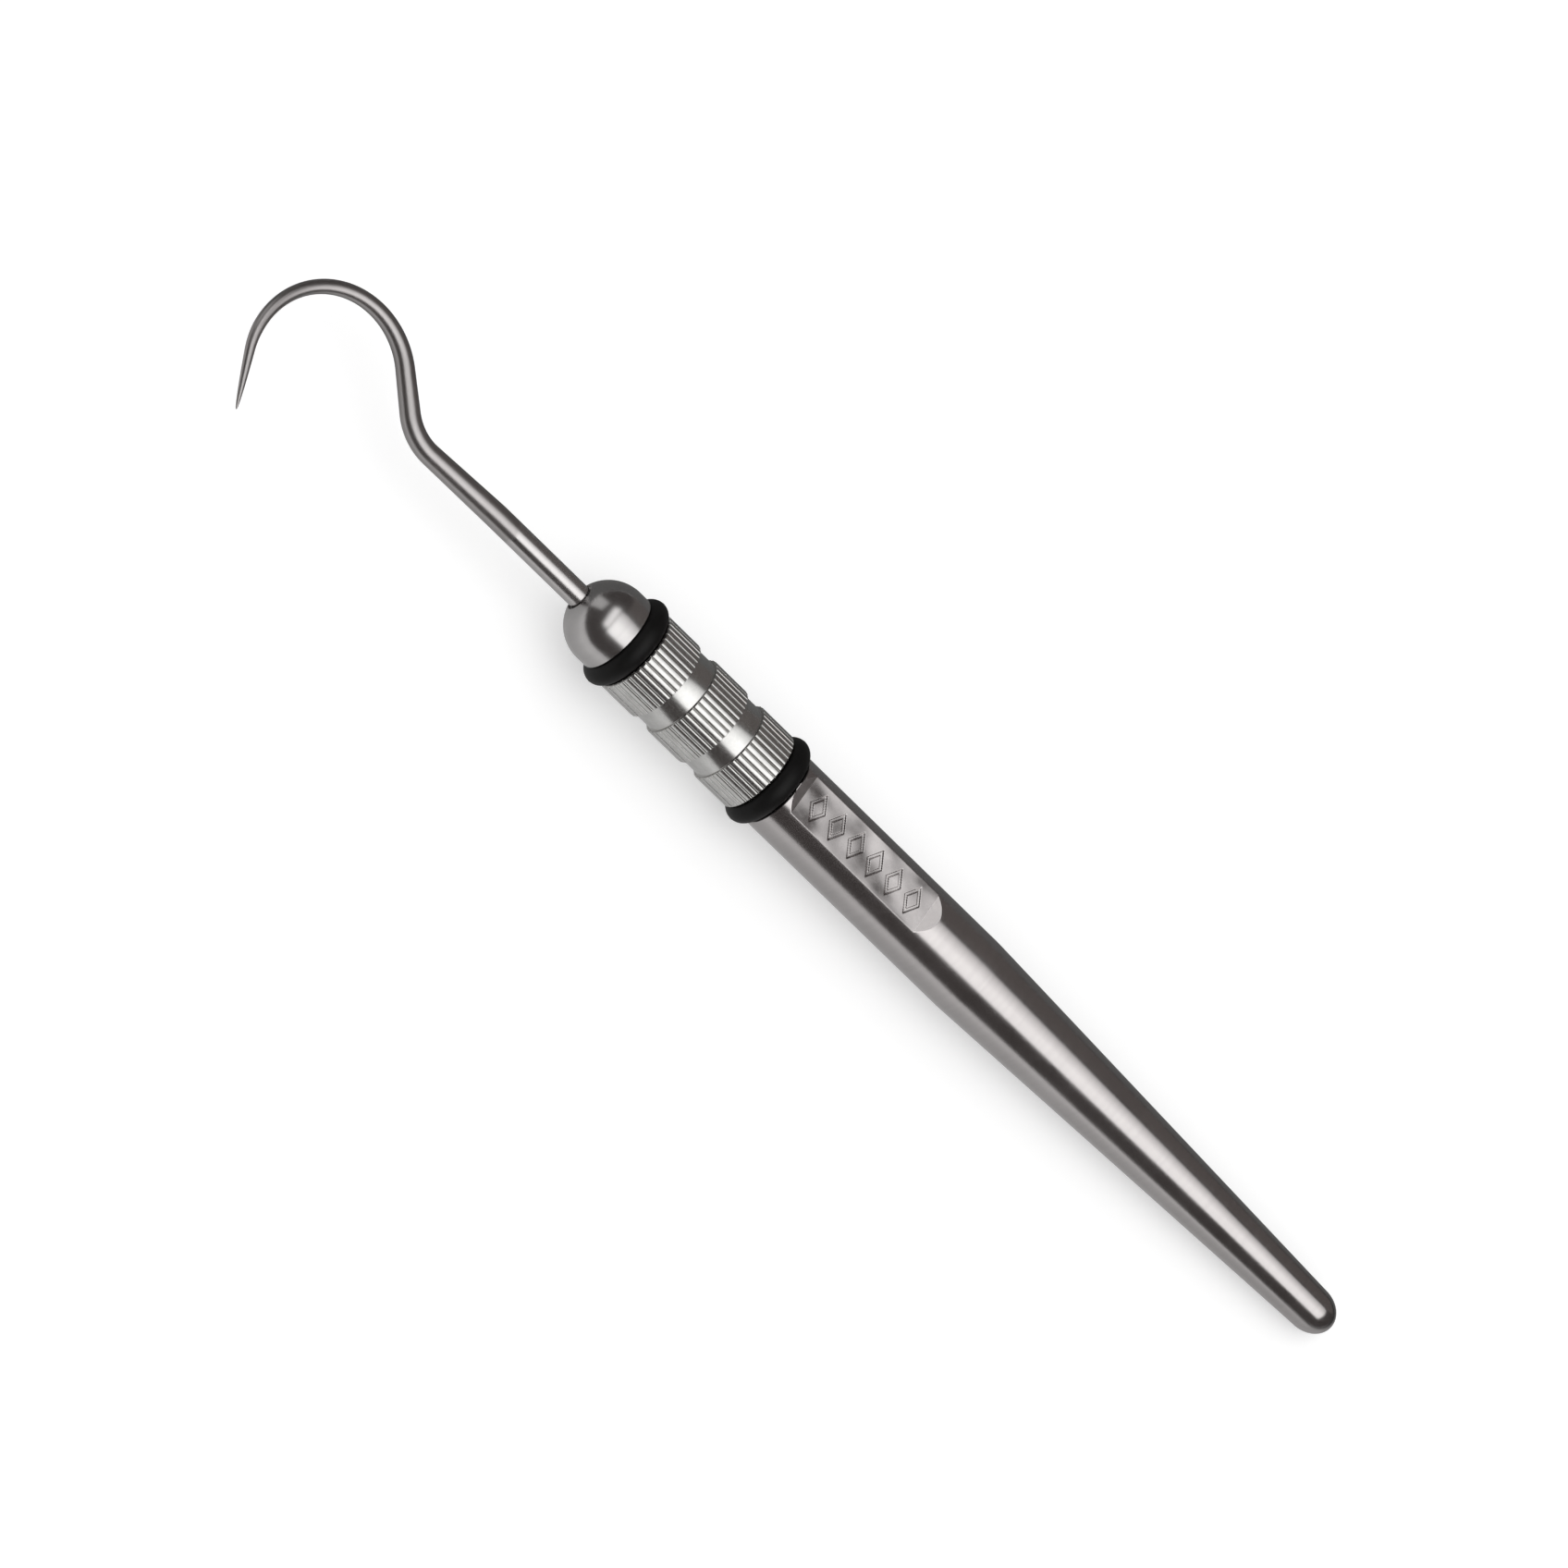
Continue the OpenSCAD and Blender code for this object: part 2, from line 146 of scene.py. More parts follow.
def make_piece(name, vertices, faces, body, nodes, materials, sharp_deg=50.0, face_material=None):
    """A closed mesh as one piece that rides on a body and stands for CAD nodes."""
    mesh = bpy.data.meshes.new(name)
    mesh.from_pydata([tuple(v) for v in vertices], [], faces)
    for material in materials:
        mesh.materials.append(material)
    if face_material:
        mesh.polygons.foreach_set("material_index", face_material)
    work = bmesh.new()
    work.from_mesh(mesh)
    bmesh.ops.recalc_face_normals(work, faces=work.faces)
    work.to_mesh(mesh)
    work.free()
    mesh.shade_smooth()
    mesh.set_sharp_from_angle(angle=math.radians(sharp_deg))
    piece = bpy.data.objects.new(name, mesh)
    bpy.context.scene.collection.objects.link(piece)
    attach(piece, body)
    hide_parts(*nodes)
    return piece


def rounded(points, cut=0.04, steps=3, closed=False):
    """A profile of (x, radius) points with each corner turned into a small curve."""
    count = len(points)
    out = []
    for i, here in enumerate(points):
        if not closed and i in (0, count - 1):
            out.append(here)
            continue
        before, after = points[i - 1], points[(i + 1) % count]
        starts = []
        for other in (before, after):
            length = math.dist(here, other)
            share = min(cut, 0.4 * length) / length
            starts.append([here[k] + (other[k] - here[k]) * share for k in (0, 1)])
        for s in range(steps + 1):
            t = s / steps
            out.append(
                tuple(
                    (1 - t) ** 2 * starts[0][k] + 2 * t * (1 - t) * here[k] + t * t * starts[1][k]
                    for k in (0, 1)
                )
            )
    return out


def lathe(rings, angles, shape=None, closed=False):
    """Vertices and faces of a profile of (x, radius) rings turned round the axis.

    shape(x, angle, radius) may change a radius. A ring of no radius at either end becomes a single pole.
    """
    vertices, starts, sizes = [], [], []
    count = len(angles)
    for x, radius in rings:
        starts.append(len(vertices))
        if radius < POLE_R:
            vertices.append(place(x, 0, 0))
            sizes.append(1)
            continue
        sizes.append(count)
        for angle in angles:
            r = shape(x, angle, radius) if shape else radius
            vertices.append(place(x, r * math.sin(angle), r * math.cos(angle)))
    faces = []
    pairs = [(i, i + 1) for i in range(len(rings) - 1)]
    if closed:
        pairs.append((len(rings) - 1, 0))
    for a, b in pairs:
        for j in range(count):
            k = (j + 1) % count
            if sizes[a] == 1:
                faces.append((starts[a], starts[b] + j, starts[b] + k))
            elif sizes[b] == 1:
                faces.append((starts[a] + j, starts[b], starts[a] + k))
            else:
                faces.append((starts[a] + j, starts[b] + j, starts[b] + k, starts[a] + k))
    return vertices, faces


def even_angles(count):
    return [TURN * i / count for i in range(count)]


def spread(start, end, count):
    """count values from start up to end, without end itself."""
    return [start + (end - start) * i / count for i in range(count)]


def soft_min(a, b, width):
    """The lower of two values, with the corner between them rounded over width."""
    blend = max(width - abs(a - b), 0.0) / width
    return min(a, b) - blend * blend * width / 4


def smooth_step(t):
    t = min(max(t, 0.0), 1.0)
    return t * t * (3 - 2 * t)


# ---------------------------------------------------------------- material tools


class Graph:
    """The nodes of a material, with short calls to add and join them."""

    def __init__(self, name, **shader_values):
        self.material = bpy.data.materials.new(name)
        self.material.use_nodes = True
        self.tree = self.material.node_tree
        self.shader = self.tree.nodes["Principled BSDF"]
        for socket, value in shader_values.items():
            self.shader.inputs[socket.replace("_", " ")].default_value = value

    def add(self, kind, inputs=None, **settings):
        made = self.tree.nodes.new("ShaderNode" + kind)
        for key, value in settings.items():
            setattr(made, key, value)
        for socket, value in (inputs or {}).items():
            if isinstance(value, bpy.types.NodeSocket):
                self.tree.links.new(value, made.inputs[socket])
            else:
                made.inputs[socket].default_value = value
        return made

    def math(self, operation, *values):
        return self.add("Math", dict(enumerate(values)), operation=operation).outputs[0]

    def ramp(self, value, low, high, out_low=0.0, out_high=1.0):
        """value from low to high becomes out_low to out_high."""
        inputs = {"Value": value, "From Min": low, "From Max": high, "To Min": out_low, "To Max": out_high}
        return self.add("MapRange", inputs).outputs["Result"]

    def noise(self, vector, scale, detail=2.0, rough=0.5):
        inputs = {"Vector": vector, "Scale": scale, "Detail": detail, "Roughness": rough}
        return self.add("TexNoise", inputs).outputs["Fac"]

    def noise_line(self, value, scale, detail=2.0):
        """Noise that changes along one coordinate only, for turned or brushed lines."""
        inputs = {"W": value, "Scale": scale, "Detail": detail}
        return self.add("TexNoise", inputs, noise_dimensions="1D").outputs["Fac"]

    def mix_colour(self, factor, first, second):
        made = self.add("Mix", {0: factor, 6: first, 7: second}, data_type="RGBA")
        return made.outputs[2]

    def finish(self, colour=None, roughness=None, heights=()):
        """Joins colour, roughness and bump layers of (height, strength, distance) to the shader."""
        if colour is not None:
            self.tree.links.new(colour, self.shader.inputs["Base Color"])
        if roughness is not None:
            self.tree.links.new(roughness, self.shader.inputs["Roughness"])
        normal = None
        for height, strength, distance in heights:
            inputs = {"Height": height, "Strength": strength, "Distance": distance}
            if normal is not None:
                inputs["Normal"] = normal
            normal = self.add("Bump", inputs).outputs["Normal"]
        if normal is not None:
            self.tree.links.new(normal, self.shader.inputs["Normal"])
        return self.material


def per_mm(count):
    """A noise scale, in features per millimetre."""
    return count / MM


def grey(value):
    return (value, value, value, 1.0)


def tinted(colour, factor):
    return tuple(c * factor for c in colour) + (1.0,)


# How far the edge between two finishes wanders, and how far it fades, in millimetres
EDGE_WANDER = 0.4
EDGE_FADE = 0.2


def turned_metal(name, colour, roughness, line_density=18.0, line_depth=0.3, mottle=0.06, ground=None):
    """Metal turned or ground round the tool's axis: fine rings, cloudy roughness and faint handling marks.

    ground = (x, colour, roughness) gives the metal ahead of x, in metres, a second finish.
    """
    g = Graph(name, Metallic=1.0)
    point = g.add("TexCoord").outputs["Object"]
    x = g.add("SeparateXYZ", {0: point}).outputs["X"]
    fine = g.noise_line(x, per_mm(line_density), 3.0)
    wide = g.noise_line(x, per_mm(line_density / 9), 2.0)
    cloud = g.noise(point, per_mm(0.22), 3.0, 0.5)
    specks = g.noise(point, per_mm(3.0), 2.0, 0.5)
    clouded = g.ramp(cloud, 0.3, 0.7, -mottle, mottle)
    banded = g.ramp(wide, 0.3, 0.7, -mottle / 2, mottle / 2)
    shade = g.math("ADD", clouded, banded)
    span = g.ramp(shade, -1.5 * mottle, 1.5 * mottle)
    mixed = g.mix_colour(span, tinted(colour, 1 - mottle), tinted(colour, 1 + mottle))
    rough = g.ramp(cloud, 0.3, 0.7, roughness - 0.025, roughness + 0.025)
    if ground:
        edge, ground_colour, ground_roughness = ground
        wander = g.ramp(cloud, 0.3, 0.7, -EDGE_WANDER * MM, EDGE_WANDER * MM)
        ahead = g.ramp(g.math("ADD", x, wander), edge + EDGE_FADE * MM, edge - EDGE_FADE * MM)
        second = g.mix_colour(span, tinted(ground_colour, 1 - mottle), tinted(ground_colour, 1 + mottle))
        mixed = g.mix_colour(ahead, mixed, second)
        rough = g.math("ADD", rough, g.ramp(ahead, 0.0, 1.0, 0.0, ground_roughness - roughness))
    rough = g.math("ADD", rough, g.ramp(specks, 0.5, 0.75, 0.0, 0.02))
    lines = g.math("ADD", g.math("MULTIPLY", fine, 0.6), g.math("MULTIPLY", wide, 0.4))
    return g.finish(mixed, rough, [(lines, line_depth, 0.0005 * MM), (specks, 0.1, 0.0008 * MM)])


# ---------------------------------------------------------------- materials

STEEL = (0.50, 0.475, 0.47)

handle_metal = turned_metal("satin_handle_steel", STEEL, 0.2, line_density=14.0, mottle=0.05)


def flat_metal(name, shade, roughness, wave_height):
    """Milled steel: cutter lines along the tool and a slow waviness that breaks its reflection up."""
    g = Graph(name, Metallic=1.0)
    point = g.add("TexCoord").outputs["Object"]
    parts = g.add("SeparateXYZ", {0: point})
    lines = g.noise_line(parts.outputs["Y"], per_mm(7.0), 3.0)
    waves = g.noise(point, per_mm(0.17), 1.0, 0.4)
    patches = g.noise(point, per_mm(0.6), 3.0, 0.6)
    specks = g.noise(point, per_mm(4.0), 2.0, 0.5)
    colour = g.mix_colour(g.ramp(patches, 0.3, 0.7), tinted(STEEL, 0.9 * shade), tinted(STEEL, 1.1 * shade))
    uneven = g.ramp(patches, 0.3, 0.7, roughness - 0.04, roughness + 0.04)
    rough = g.math("ADD", uneven, g.ramp(specks, 0.5, 0.8, 0.0, 0.05))
    return g.finish(
        colour, rough, [(lines, 0.3, 0.0008 * MM), (waves, 1.0, wave_height * MM), (specks, 0.1, 0.001 * MM)]
    )


flat_steel = flat_metal("milled_flat_steel", 1.05, 0.21, 0.95)
# Painted light: the run-out facets are the same milled steel with a lighter base colour, standing in for light
# they reflect too little of.
run_out_steel_painted_lighter = flat_metal("milled_run_out_steel", 1.35, 0.34, 0.3)
nose_metal = turned_metal("satin_ball_steel", (0.52, 0.505, 0.50), 0.22, line_density=10.0, mottle=0.05)
wire_metal = turned_metal(
    "ground_wire_steel",
    (0.56, 0.54, 0.535),
    0.25,
    line_density=9.0,
    mottle=0.05,
    ground=(place(FINISH_END, 0, 0).x, (0.43, 0.41, 0.405), 0.33),
)


def barrel_metal():
    """Bright aluminium: polished crests, and knurl roots that are rougher and painted darker as shade."""
    g = Graph("bright_knurled_aluminium", Metallic=1.0)
    point = g.add("TexCoord").outputs["Object"]
    centred = g.add("VectorMath", {0: point, 1: (0.0, AXIS_Y, AXIS_Z)}, operation="SUBTRACT").outputs[0]
    flattened = g.add("VectorMath", {0: centred, 1: (0.0, 1.0, 1.0)}, operation="MULTIPLY").outputs[0]
    radius = g.add("VectorMath", {0: flattened}, operation="LENGTH").outputs["Value"]
    x = g.add("SeparateXYZ", {0: point}).outputs["X"]
    height = g.ramp(radius, (BARREL_R - TOOTH_DEPTH) * MM, BARREL_R * MM)
    in_groove = g.ramp(radius, (GROOVE_R + 0.02) * MM, (GROOVE_R + 0.09) * MM, 1.0, 0.0)
    polished_unshaded = g.math("MAXIMUM", height, in_groove)
    cloud = g.noise(point, per_mm(0.6), 3.0, 0.6)
    specks = g.noise(point, per_mm(4.0), 3.0, 0.65)
    rings = g.noise_line(x, per_mm(12.0), 3.0)
    bright = g.mix_colour(g.ramp(cloud, 0.3, 0.7), (0.57, 0.565, 0.55, 1), (0.66, 0.655, 0.64, 1))
    # Painted shade: the knurl roots and flanks are coloured darker than the crests and the groove floors.
    colour = g.mix_colour(g.ramp(polished_unshaded, 0.0, 0.8), (0.42, 0.41, 0.395, 1), bright)
    rough = g.math("ADD", g.ramp(polished_unshaded, 0.0, 1.0, 0.34, 0.2), g.ramp(specks, 0.4, 0.8, 0.0, 0.08))
    return g.finish(colour, rough, [(rings, 0.25, 0.0006 * MM), (specks, 0.12, 0.001 * MM)])


barrel_aluminium = barrel_metal()


def rubber():
    """Black moulded rubber: matt, with a faint bloom and a fine grain."""
    g = Graph("black_ring_rubber", IOR=1.5, Specular_IOR_Level=0.2)
    point = g.add("TexCoord").outputs["Object"]
    cloud = g.noise(point, per_mm(0.5), 3.0, 0.6)
    grain = g.noise(point, per_mm(9.0), 3.0, 0.7)
    colour = g.mix_colour(g.ramp(cloud, 0.3, 0.75), (0.003, 0.0028, 0.0027, 1), (0.006, 0.0056, 0.0053, 1))
    rough = g.ramp(grain, 0.3, 0.75, 0.42, 0.6)
    return g.finish(colour, rough, [(grain, 0.25, 0.01 * MM), (cloud, 0.3, 0.05 * MM)])


ring_rubber = rubber()

inner_finishes = {
    "turned_steel": turned_metal("turned_shaft_steel", (0.55, 0.54, 0.53), 0.3),
    "bearing_steel": turned_metal("bearing_race_steel", (0.68, 0.67, 0.66), 0.16, line_depth=0.15),
    "ball_steel": turned_metal("bearing_ball_steel", (0.75, 0.74, 0.73), 0.08, line_depth=0.05, mottle=0.02),
    "cage_brass": turned_metal("cage_brass_metal", (0.78, 0.58, 0.27), 0.28),
    "spacer_brass": turned_metal("spacer_brass_metal", (0.72, 0.54, 0.26), 0.32),
    "shield_steel": turned_metal("pressed_shield_steel", (0.6, 0.6, 0.6), 0.25, line_depth=0.2),
    "spring_steel": turned_metal("blued_spring_steel", (0.3, 0.31, 0.35), 0.3),
    "dark_screw_steel": turned_metal("dark_screw_metal", (0.12, 0.12, 0.125), 0.35),
}


# ---------------------------------------------------------------- handle


def plane_height(x):
    """Height of the milled cut above the axis at x: level on the flat, and rising at both run-outs."""
    return FLAT_H + FLAT_SLOPE * max(FLAT_START - x, x - FLAT_END, 0.0)


MARK_SLANT = math.hypot(1 / MARK_HALF_W, 1 / MARK_HALF_H)
FIRST_MARK = (FLAT_START + FLAT_END - (MARK_COUNT - 1) * MARK_PITCH) / 2


def mark_cut(x, y):
    """Depth of the engraved lozenge lines at a point of the flat."""
    nearest = min(max(round((x - FIRST_MARK) / MARK_PITCH), 0), MARK_COUNT - 1)
    across = abs(x - FIRST_MARK - nearest * MARK_PITCH) / MARK_HALF_W + abs(y) / MARK_HALF_H - 1
    inside = -across / MARK_SLANT
    from_middle = abs(inside - MARK_LINE / 2)
    return MARK_DEPTH * smooth_step((MARK_LINE / 2 + MARK_SOFT - from_middle) / (2 * MARK_SOFT))


# The flat lies well inside the part of the handle where the cosine of the angle is above this
FLAT_SIDE_COS = 0.5


def handle_shape(x, angle, radius):
    """Radius of the handle with the flat, its run-outs and the lozenges cut in."""
    if math.cos(angle) < FLAT_SIDE_COS or x > FLAT_ZONE or radius < HANDLE_R - 2 * HANDLE_BEVEL:
        return radius
    height = plane_height(x)
    plane_r = height / math.cos(angle)
    if plane_r - radius > FLAT_EDGE:
        return radius
    cut = mark_cut(x, height * math.tan(angle)) if FLAT_START < x < FLAT_END else 0.0
    return soft_min(radius, plane_r, FLAT_EDGE) - cut / math.cos(angle)


ROUND, FLAT, RUN_OUT = 0, 1, 2


def handle_piece():
    edge_share = 0.88
    wide = math.atan(math.tan(math.acos(FLAT_H / HANDLE_R)) / edge_share)
    fine_count, coarse_count, fine_step = 100, 52, 0.045
    angles = [math.atan((2 * i / fine_count - 1) * math.tan(wide)) for i in range(fine_count)]
    angles += spread(wide, TURN - wide, coarse_count)
    bore = rounded(
        [
            (SPINDLE_BORE_END, 0.0),
            (SPINDLE_BORE_END, SPINDLE_BORE_R),
            (0.0, SPINDLE_BORE_R),
            (0.0, HANDLE_R - HANDLE_BEVEL),
            (HANDLE_BEVEL, HANDLE_R),
            (HANDLE_BEVEL * 3, HANDLE_R),
        ],
        cut=0.05,
    )
    fine_start = HANDLE_BEVEL * 3 + fine_step
    fine_rings = round((FLAT_ZONE - fine_start) / fine_step)
    straight_rings, taper_rings, tail_rings = 6, 56, 20
    before_taper, taper_edge, after_taper = 0.6, 0.2, 0.8
    rings = bore + [(x, HANDLE_R) for x in spread(fine_start, FLAT_ZONE, fine_rings)]
    rings += [(x, HANDLE_R) for x in spread(FLAT_ZONE, GRIP_LEN - before_taper, straight_rings)]
    tail_x = HANDLE_LEN - TAIL_LEN
    slope = (HANDLE_R - TAIL_R) / (tail_x - GRIP_LEN)
    rings += [(GRIP_LEN - before_taper, HANDLE_R), (GRIP_LEN - taper_edge, HANDLE_R)]
    rings.append((GRIP_LEN + taper_edge, HANDLE_R - taper_edge * slope))
    taper_xs = spread(GRIP_LEN + after_taper, tail_x, taper_rings)
    rings += [(x, HANDLE_R - slope * (x - GRIP_LEN)) for x in taper_xs]
    for i in range(tail_rings):
        a = math.pi / 2 * i / tail_rings
        rings.append((tail_x + TAIL_LEN * math.sin(a), TAIL_R * math.cos(a)))
    rings.append((HANDLE_LEN, 0.0))
    vertices, faces = lathe(rings, angles, handle_shape)
    milled_above, milled_depth = 3, 0.03
    finish_of_face = []
    for face in faces:
        middle = sum((vertices[i] for i in face), Vector()) / len(face)
        x = (middle.x - FACE_X) / MM
        y = (middle.y - AXIS_Y) / MM
        z = (middle.z - AXIS_Z) / MM
        below_round = z > milled_above and math.hypot(y, z) < HANDLE_R - milled_depth
        if not (HANDLE_BEVEL < x < FLAT_ZONE and below_round):
            finish_of_face.append(ROUND)
        elif FLAT_START < x < FLAT_END:
            finish_of_face.append(FLAT)
        else:
            finish_of_face.append(RUN_OUT)
    return make_piece(
        "tapered_handle",
        vertices,
        faces,
        "handle_body",
        ["handle"],
        [handle_metal, flat_steel, run_out_steel_painted_lighter],
        sharp_deg=24,
        face_material=finish_of_face,
    )


handle_piece()


# ---------------------------------------------------------------- barrel


def tooth_radius(angle):
    """Radius of the knurl: gently crowned bars with a narrow gap between them."""
    from_crest = abs((angle / TURN * TOOTH_COUNT + 0.5) % 1.0 - 0.5)
    if from_crest < TOOTH_HALF:
        return BARREL_R - TOOTH_CROWN * (from_crest / TOOTH_HALF) ** 2
    down = smooth_step((from_crest - TOOTH_HALF) / TOOTH_FLANK)
    return BARREL_R - TOOTH_CROWN - (TOOTH_DEPTH - TOOTH_CROWN) * down


BELOW_GROOVE = 0.01
BAR_SOFT = 0.04


def barrel_shape(x, angle, radius):
    """Radius of the barrel: the knurl on its bands, and the plain profile in its bores and seats."""
    if radius < GROOVE_R - BELOW_GROOVE:
        return radius
    return soft_min(radius, tooth_radius(angle), BAR_SOFT)


def barrel_piece():
    half_tooth = [0.08, 0.16, 0.235, 0.3, 0.36, 0.41, 0.44, 0.47]
    in_tooth = [-0.5] + [-p for p in reversed(half_tooth)] + [0.0] + half_tooth
    angles = [(i + p) / TOOTH_COUNT * TURN for i in range(TOOTH_COUNT) for p in in_tooth]
    lip_r, lip_w, lip_bevel, face_gap = SEAT_R + 0.42, 0.23, 0.1, 0.15
    shoulder_gap = 0.05
    fall_steps = (0, 0.25, 0.5, 0.75, 1)
    neck_bore_r, bearing_bore_r, spigot_bore_r = 2.2, 3.01, 3.3
    bearing_rear = along_axis("rear_inner_race")[1]
    bearing_front = along_axis("front_inner_race")[0]
    outline = [
        (-face_gap, neck_bore_r),
        (-face_gap, lip_r - lip_bevel),
        (-face_gap - lip_w, lip_r),
        (-face_gap - lip_w, SEAT_R),
        (BAND_REAR, SEAT_R),
        (BAND_REAR, BARREL_R - END_BEVEL),
        (BAND_REAR - END_BEVEL / 2, BARREL_R - END_BEVEL / 2),
        (BAND_REAR - END_BEVEL, BARREL_R),
    ]
    for x in GROOVE_XS:
        edge = GROOVE_HALF + BAND_BEVEL
        fall = BARREL_R - GROOVE_R
        outline += [(x + edge - BAND_BEVEL * t, BARREL_R - fall * t) for t in fall_steps]
        outline += [(x - edge + BAND_BEVEL * t, BARREL_R - fall * t) for t in reversed(fall_steps)]
    outline += [
        (BAND_FRONT + END_BEVEL, BARREL_R),
        (BAND_FRONT + END_BEVEL / 2, BARREL_R - END_BEVEL / 2),
        (BAND_FRONT, BARREL_R - END_BEVEL),
        (BAND_FRONT, spigot_bore_r),
        (bearing_front + shoulder_gap, spigot_bore_r),
        (bearing_front + shoulder_gap, bearing_bore_r),
        (bearing_rear, bearing_bore_r),
        (bearing_rear, neck_bore_r),
    ]
    rings = rounded(outline, cut=0.03, steps=2, closed=True)
    vertices, faces = lathe(rings, angles, barrel_shape, closed=True)
    return make_piece(
        "knurled_sleeve",
        vertices,
        faces,
        "spinning_head",
        ["knurled_barrel"],
        [barrel_aluminium],
        sharp_deg=60,
    )


barrel_piece()


# ---------------------------------------------------------------- nose


def nose_piece():
    mouth_r, mouth_depth, wire_bore_r = 1.55, 0.6, WIRE_R + 0.03
    cavity_r, cavity_front, wire_bore_end = 2.35, -19.0, WIRE_BACK + 0.05
    spigot_r, spigot_rear = 3.28, -16.05
    grub_hole_r = 1.01
    drill_step, drill_end_step = 0.5, 0.4
    mouth_x = NOSE_X - math.sqrt(NOSE_R**2 - mouth_r**2)
    start = math.asin(mouth_r / NOSE_R)
    steps, sides, grub_sides = 48, 144, 48
    ball = []
    for i in range(1, steps + 1):
        a = start + (math.pi / 2 - start) * i / steps
        ball.append((NOSE_X - NOSE_R * math.cos(a), NOSE_R * math.sin(a)))
    mouth = rounded(
        [
            (wire_bore_end, wire_bore_r),
            (NOSE_POLE + mouth_depth, wire_bore_r),
            (NOSE_POLE + mouth_depth, mouth_r),
            (mouth_x, mouth_r),
            ball[0],
        ],
        cut=0.05,
    )
    rear = rounded(
        [
            ball[-1],
            (NOSE_REAR, NOSE_R),
            (NOSE_REAR, SEAT_R),
            (BAND_FRONT, SEAT_R),
            (BAND_FRONT, spigot_r),
            (spigot_rear, spigot_r),
            (spigot_rear, cavity_r),
            (cavity_front, cavity_r),
            (cavity_front, wire_bore_r + drill_step),
            (wire_bore_end, wire_bore_r + drill_end_step),
        ],
        cut=0.06,
    )
    rings = mouth[:-1] + ball[:-1] + rear
    vertices, faces = lathe(rings, even_angles(sides), closed=True)
    piece = make_piece(
        "nose_shell",
        vertices,
        faces,
        "spinning_head",
        ["nose_ball"],
        [nose_metal],
    )
    bore_mesh = bpy.data.meshes.new("grub_bore")
    work = bmesh.new()
    hole = grub_hole_r * MM
    bmesh.ops.create_cone(
        work, cap_ends=True, segments=grub_sides, radius1=hole, radius2=hole, depth=NOSE_R * MM
    )
    bmesh.ops.translate(work, verts=work.verts, vec=place(FRONT_RING_X, 0, -NOSE_R / 2))
    work.to_mesh(bore_mesh)
    work.free()
    bore = bpy.data.objects.new("grub_bore", bore_mesh)
    bpy.context.scene.collection.objects.link(bore)
    cut = piece.modifiers.new("grub_bore", "BOOLEAN")
    cut.operation, cut.object, cut.solver = "DIFFERENCE", bore, "EXACT"
    bpy.context.view_layer.update()
    done = bpy.data.meshes.new_from_object(piece.evaluated_get(bpy.context.evaluated_depsgraph_get()))
    piece.modifiers.clear()
    piece.data = done
    bpy.data.objects.remove(bore)
    return piece


nose_piece()


# ---------------------------------------------------------------- hook wire

LEAN_LEN = (TAPER_START - BEND_X) / math.cos(WIRE_LEAN)
LEAN_DROP = LEAN_LEN * math.sin(WIRE_LEAN)
BEND_LEN = BEND_R * (BEND_ANGLE + WIRE_LEAN)
ARC_AT = BEND_LEN + SLOPE_LEN
POINT_AT = ARC_AT + HOOK_R * HOOK_SWEEP
WIRE_TOTAL = POINT_AT + POINT_LEN
TAPER_LEN = WIRE_TOTAL - POINT_TAPER + LEAN_LEN
SLOPE_HEADING = math.pi - BEND_ANGLE
POINT_HEADING = SLOPE_HEADING + HOOK_SWEEP


def to_left(point, heading, distance):
    """A point moved sideways, to the left of someone who walks along heading."""
    return point[0] - distance * math.sin(heading), point[1] + distance * math.cos(heading)


def onward(point, heading, distance):
    return point[0] + distance * math.cos(heading), point[1] + distance * math.sin(heading)


bend_mid = to_left((BEND_X, -LEAN_DROP), math.pi + WIRE_LEAN, -BEND_R)
bend_end = to_left(bend_mid, SLOPE_HEADING, BEND_R)
hook_mid = to_left(onward(bend_end, SLOPE_HEADING, SLOPE_LEN), SLOPE_HEADING, HOOK_R)
point_start = to_left(hook_mid, POINT_HEADING, -HOOK_R)


def wire_at(u):
    """Middle (x, y) and heading of the wire at distance u past the start of its first bend."""
    if u < -LEAN_LEN:
        return (TAPER_START - LEAN_LEN - u, 0.0), math.pi
    if u < 0:
        heading = math.pi + WIRE_LEAN
        return onward((BEND_X, -LEAN_DROP), heading, u), heading
    if u < BEND_LEN:
        heading = math.pi + WIRE_LEAN - u / BEND_R
        return to_left(bend_mid, heading, BEND_R), heading
    if u < ARC_AT:
        return onward(bend_end, SLOPE_HEADING, u - BEND_LEN), SLOPE_HEADING
    if u < POINT_AT:
        heading = SLOPE_HEADING + (u - ARC_AT) / HOOK_R
        return to_left(hook_mid, heading, -HOOK_R), heading
    return onward(point_start, POINT_HEADING, u - POINT_AT), POINT_HEADING


def wire_radius(u):
    if u < -LEAN_LEN:
        return WIRE_R
    if u < TAPER_LEN - LEAN_LEN:
        return WIRE_R + (POINT_R - WIRE_R) * (u + LEAN_LEN) / TAPER_LEN
    return TIP_R + (POINT_R - TIP_R) * ((WIRE_TOTAL - u) / POINT_TAPER) ** POINT_POWER


